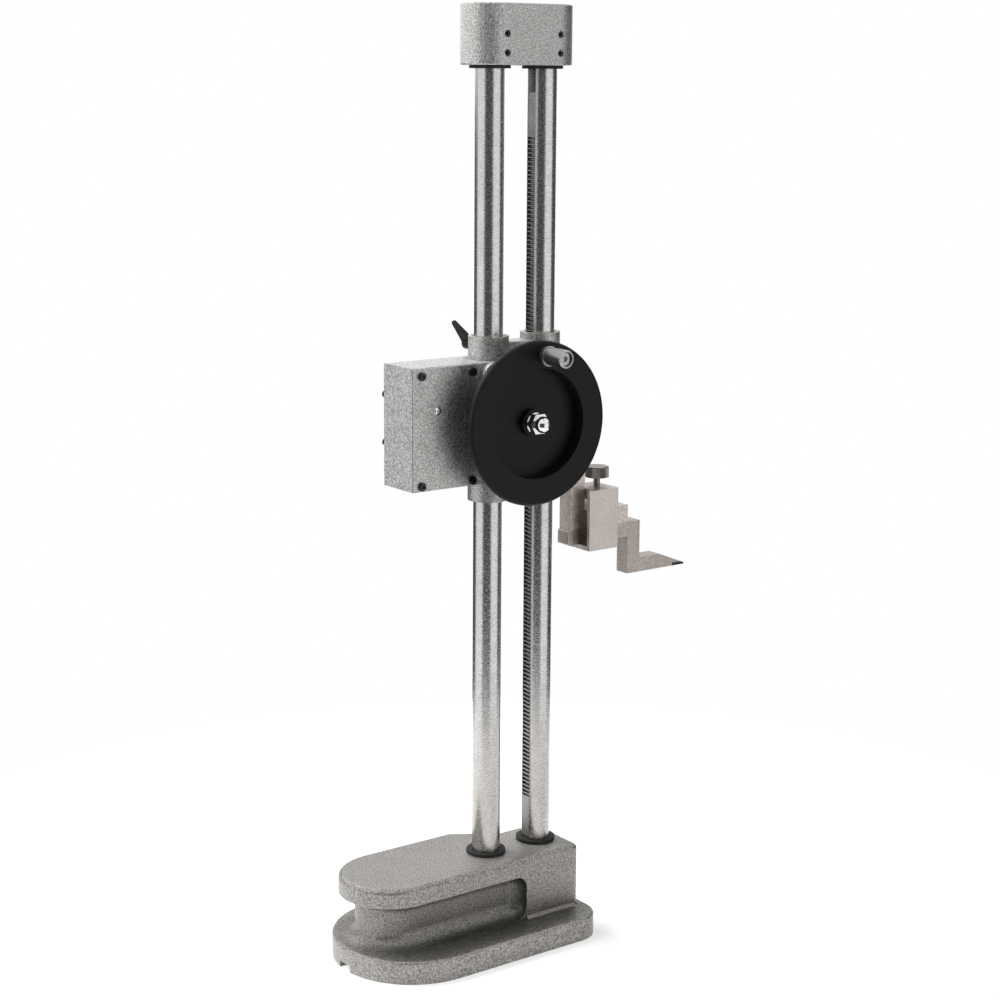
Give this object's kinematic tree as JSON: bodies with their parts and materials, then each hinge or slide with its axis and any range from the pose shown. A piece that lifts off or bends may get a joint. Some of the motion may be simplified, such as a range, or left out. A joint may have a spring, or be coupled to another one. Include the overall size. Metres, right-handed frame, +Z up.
{
  "type": "dial height gauge",
  "caption": "Free-standing twin-column height gauge: a heavy base, a slider cranked along a rack, a dial with digital counters, and a clamped carbide scriber.",
  "frame": {"origin": "on the base's underside, midway between the axes of the two columns", "axes": "+X from the counter box towards the scriber, -Y towards the crank wheel, +Y towards the dial, +Z up along the columns"},
  "size_m": [0.3073, 0.1315, 0.6885],
  "materials": {
    "base_paint": "hammered",
    "light_paint": "speckled satin",
    "ground_steel": "ground",
    "rack_steel": "milled",
    "satin_nickel": "satin",
    "bright_chrome": "polished",
    "black_oxide": "blackened",
    "black_enamel": "satin gloss",
    "black_rubber": "matt",
    "bronze": "turned",
    "counter_white": "matt",
    "clear_glass": "clear",
    "carbide": "ground"
  },
  "bodies": {
    "stand": {"base_casting": "base_paint", "rear_column": "ground_steel", "front_column": "ground_steel", "rack": "rack_steel", "base_rings": "black_rubber", "cap_rings": "black_rubber", "column_cap": "light_paint", "cap_grub_screws": "black_oxide", "column_bolts": "black_oxide"},
    "slider": {"slider_casting": "light_paint", "guide_bushes": "bronze", "gear_cover": "light_paint", "gear_cover_screws": "black_oxide", "counter_box": "light_paint", "counter_cover": "light_paint", "cover_screws": "black_oxide", "cover_stud": "bright_chrome", "counter_frames": "ground_steel", "counter_axles": "ground_steel", "counter_windows": "clear_glass", "dial_casing": "light_paint", "train_bridge": "bronze", "lock_pad": "bronze", "jaw": "satin_nickel", "jaw_screws": "black_oxide", "clamp_frame": "satin_nickel"},
    "crank": {"crank_shaft": "ground_steel", "crank_wheel": "black_enamel", "wheel_washer": "bright_chrome", "wheel_nut": "bright_chrome", "crank_pin": "bright_chrome"},
    "grip": {"crank_grip": "satin_nickel"},
    "pinion": {"cross_shaft": "ground_steel", "rack_pinion": "rack_steel", "cross_gear": "rack_steel"},
    "arbor": {"middle_arbor": "bronze"},
    "hand": {"hand_arbor": "bronze", "dial_hand": "black_oxide"},
    "dial_ring": {"bezel": "satin_nickel", "crystal": "clear_glass", "dial_face": "counter_white"},
    "upper_wheel_1": {"upper_units": "counter_white"},
    "upper_wheel_10": {"upper_tens": "counter_white"},
    "upper_wheel_100": {"upper_hundreds": "counter_white"},
    "lower_wheel_1": {"lower_units": "counter_white"},
    "lower_wheel_10": {"lower_tens": "counter_white"},
    "lower_wheel_100": {"lower_hundreds": "counter_white"},
    "upper_reset": {"upper_button": "black_oxide"},
    "lower_reset": {"lower_button": "black_oxide"},
    "lock": {"lock_screw": "black_oxide"},
    "thumb": {"thumb_screw": "black_oxide"},
    "scriber_bar": {"scriber": "satin_nickel", "carbide_tip": "carbide"}
  },
  "joints": [
    {"name": "slider_slide", "type": "slide", "parent": "stand", "child": "slider", "axis": [0, 0, 1], "range_m": [-0.262, 0.188]},
    {"name": "crank_turn", "type": "hinge", "parent": "slider", "child": "crank", "pos_m": [-0.00921, 0, 0.395], "axis": [0, 1, 0], "range_deg": [-2260, 3150]},
    {"name": "grip_spin", "type": "hinge", "parent": "crank", "child": "grip", "pos_m": [-0.00326, 0, 0.44344], "axis": [0, 1, 0], "continuous": true},
    {"name": "pinion_turn", "type": "hinge", "parent": "slider", "child": "pinion", "pos_m": [0.00679, 0, 0.395], "axis": [0, 1, 0], "range_deg": [-1890, 1360]},
    {"name": "arbor_turn", "type": "hinge", "parent": "slider", "child": "arbor", "pos_m": [-0.00921, 0, 0.4102], "axis": [0, 1, 0], "range_deg": [-11800, 8470]},
    {"name": "hand_turn", "type": "hinge", "parent": "slider", "child": "hand", "pos_m": [-0.00921, 0, 0.395], "axis": [0, 1, 0], "range_deg": [-33850, 47200]},
    {"name": "bezel_turn", "type": "hinge", "parent": "slider", "child": "dial_ring", "pos_m": [-0.00921, 0, 0.395], "axis": [0, 1, 0], "range_deg": [-180, 180]},
    {"name": "upper_units_turn", "type": "hinge", "parent": "slider", "child": "upper_wheel_1", "pos_m": [-0.07025, 0.0065, 0.4149], "axis": [1, 0, 0], "range_deg": [-9440, 6780]},
    {"name": "upper_tens_turn", "type": "hinge", "parent": "slider", "child": "upper_wheel_10", "pos_m": [-0.07025, 0.0065, 0.4149], "axis": [1, 0, 0], "range_deg": [-945, 680]},
    {"name": "upper_hundreds_turn", "type": "hinge", "parent": "slider", "child": "upper_wheel_100", "pos_m": [-0.07025, 0.0065, 0.4149], "axis": [1, 0, 0], "range_deg": [-95, 70]},
    {"name": "lower_units_turn", "type": "hinge", "parent": "slider", "child": "lower_wheel_1", "pos_m": [-0.07025, 0.0065, 0.3803], "axis": [1, 0, 0], "range_deg": [-6780, 9440]},
    {"name": "lower_tens_turn", "type": "hinge", "parent": "slider", "child": "lower_wheel_10", "pos_m": [-0.07025, 0.0065, 0.3803], "axis": [1, 0, 0], "range_deg": [-680, 945]},
    {"name": "lower_hundreds_turn", "type": "hinge", "parent": "slider", "child": "lower_wheel_100", "pos_m": [-0.07025, 0.0065, 0.3803], "axis": [1, 0, 0], "range_deg": [-70, 95]},
    {"name": "upper_reset_press", "type": "slide", "parent": "slider", "child": "upper_reset", "axis": [0, -1, 0], "range_m": [0, 0.003], "stiffness_N_per_m": 300, "springref_m": -0.001},
    {"name": "lower_reset_press", "type": "slide", "parent": "slider", "child": "lower_reset", "axis": [0, -1, 0], "range_m": [0, 0.003], "stiffness_N_per_m": 300, "springref_m": -0.001},
    {"name": "lock_turn", "type": "hinge", "parent": "slider", "child": "lock", "pos_m": [-0.02685, 0, 0.4475], "axis": [0, 1, 0], "range_deg": [-60, 0]},
    {"name": "thumb_screw_turn", "type": "hinge", "parent": "slider", "child": "thumb", "pos_m": [0.0786, 0, 0.34], "axis": [0, 0, 1], "range_deg": [-30, 720]},
    {"name": "scriber_slide", "type": "slide", "parent": "slider", "child": "scriber_bar", "axis": [1, 0, 0], "range_m": [-0.002, 0.022]}
  ],
  "couplings": [
    {"joint": "crank_turn", "follows": "slider_slide", "rad_per_m": -209.44},
    {"joint": "pinion_turn", "follows": "slider_slide", "rad_per_m": 125.66},
    {"joint": "arbor_turn", "follows": "slider_slide", "rad_per_m": 785.4},
    {"joint": "hand_turn", "follows": "slider_slide", "rad_per_m": -3141.6},
    {"joint": "upper_units_turn", "follows": "slider_slide", "rad_per_m": 628.32},
    {"joint": "upper_tens_turn", "follows": "slider_slide", "rad_per_m": 62.832},
    {"joint": "upper_hundreds_turn", "follows": "slider_slide", "rad_per_m": 6.2832},
    {"joint": "lower_units_turn", "follows": "slider_slide", "rad_per_m": -628.32},
    {"joint": "lower_tens_turn", "follows": "slider_slide", "rad_per_m": -62.832},
    {"joint": "lower_hundreds_turn", "follows": "slider_slide", "rad_per_m": -6.2832}
  ]
}
